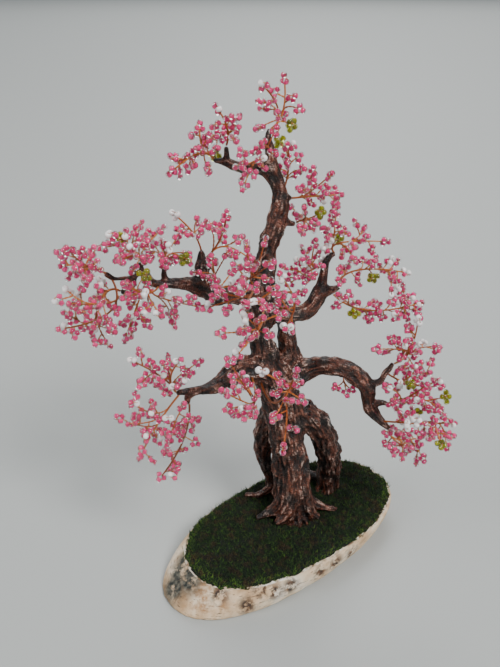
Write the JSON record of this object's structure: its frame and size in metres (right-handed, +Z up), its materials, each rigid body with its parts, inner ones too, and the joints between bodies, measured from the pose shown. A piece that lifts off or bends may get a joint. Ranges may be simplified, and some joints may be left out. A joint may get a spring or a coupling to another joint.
{
  "type": "beaded wire cherry blossom bonsai",
  "caption": "Ornamental cherry blossom bonsai of glass seed beads on twisted copper wire, with a sculpted painted trunk on a mossy oval birch slice.",
  "frame": {"origin": "middle of the birch slice's flat underside", "axes": "+Z up, +X to the right seen from the front, -Y towards the front"},
  "size_m": [0.1662, 0.11, 0.2164],
  "materials": {
    "birch": "rough natural bark",
    "moss": "matt fibrous",
    "painted_trunk": "painted, dry-brushed satin",
    "glass_beads": "glossy"
  },
  "bodies": {
    "root": {"birch_slice": "birch", "moss_mat": "moss", "trunk": "painted_trunk", "spray_leader_tip": "glass_beads", "spray_leader_front": "glass_beads", "spray_leader_right": "glass_beads", "spray_top_left_tip": "glass_beads", "spray_top_left_stub": "glass_beads", "spray_top_left_base": "glass_beads", "spray_upper_right": "glass_beads", "spray_upper_spur": "glass_beads", "spray_mid_right_up": "glass_beads", "spray_mid_right_back": "glass_beads", "spray_mid_right_tip": "glass_beads", "spray_mid_right_low": "glass_beads", "spray_mid_left_tip": "glass_beads", "spray_mid_left_far": "glass_beads", "spray_mid_left_low": "glass_beads", "spray_mid_left_rise": "glass_beads", "spray_mid_left_knob": "glass_beads", "spray_mid_left_under": "glass_beads", "spray_mid_left_hang": "glass_beads", "spray_stub_left": "glass_beads", "spray_stub_right": "glass_beads", "spray_stub_low": "glass_beads", "spray_front_high": "glass_beads", "spray_front_mid": "glass_beads", "spray_front_low": "glass_beads", "spray_front_right": "glass_beads", "spray_lower_left_rise": "glass_beads", "spray_lower_left_fall": "glass_beads", "spray_lower_left_hook": "glass_beads", "spray_lower_right_rise": "glass_beads", "spray_lower_right_mid": "glass_beads", "spray_lower_right_stub": "glass_beads", "spray_lower_right_tip": "glass_beads", "spray_lower_right_far": "glass_beads", "spray_arch_under": "glass_beads", "spray_centre_low": "glass_beads", "spray_centre_low_right": "glass_beads"}
  },
  "joints": []
}
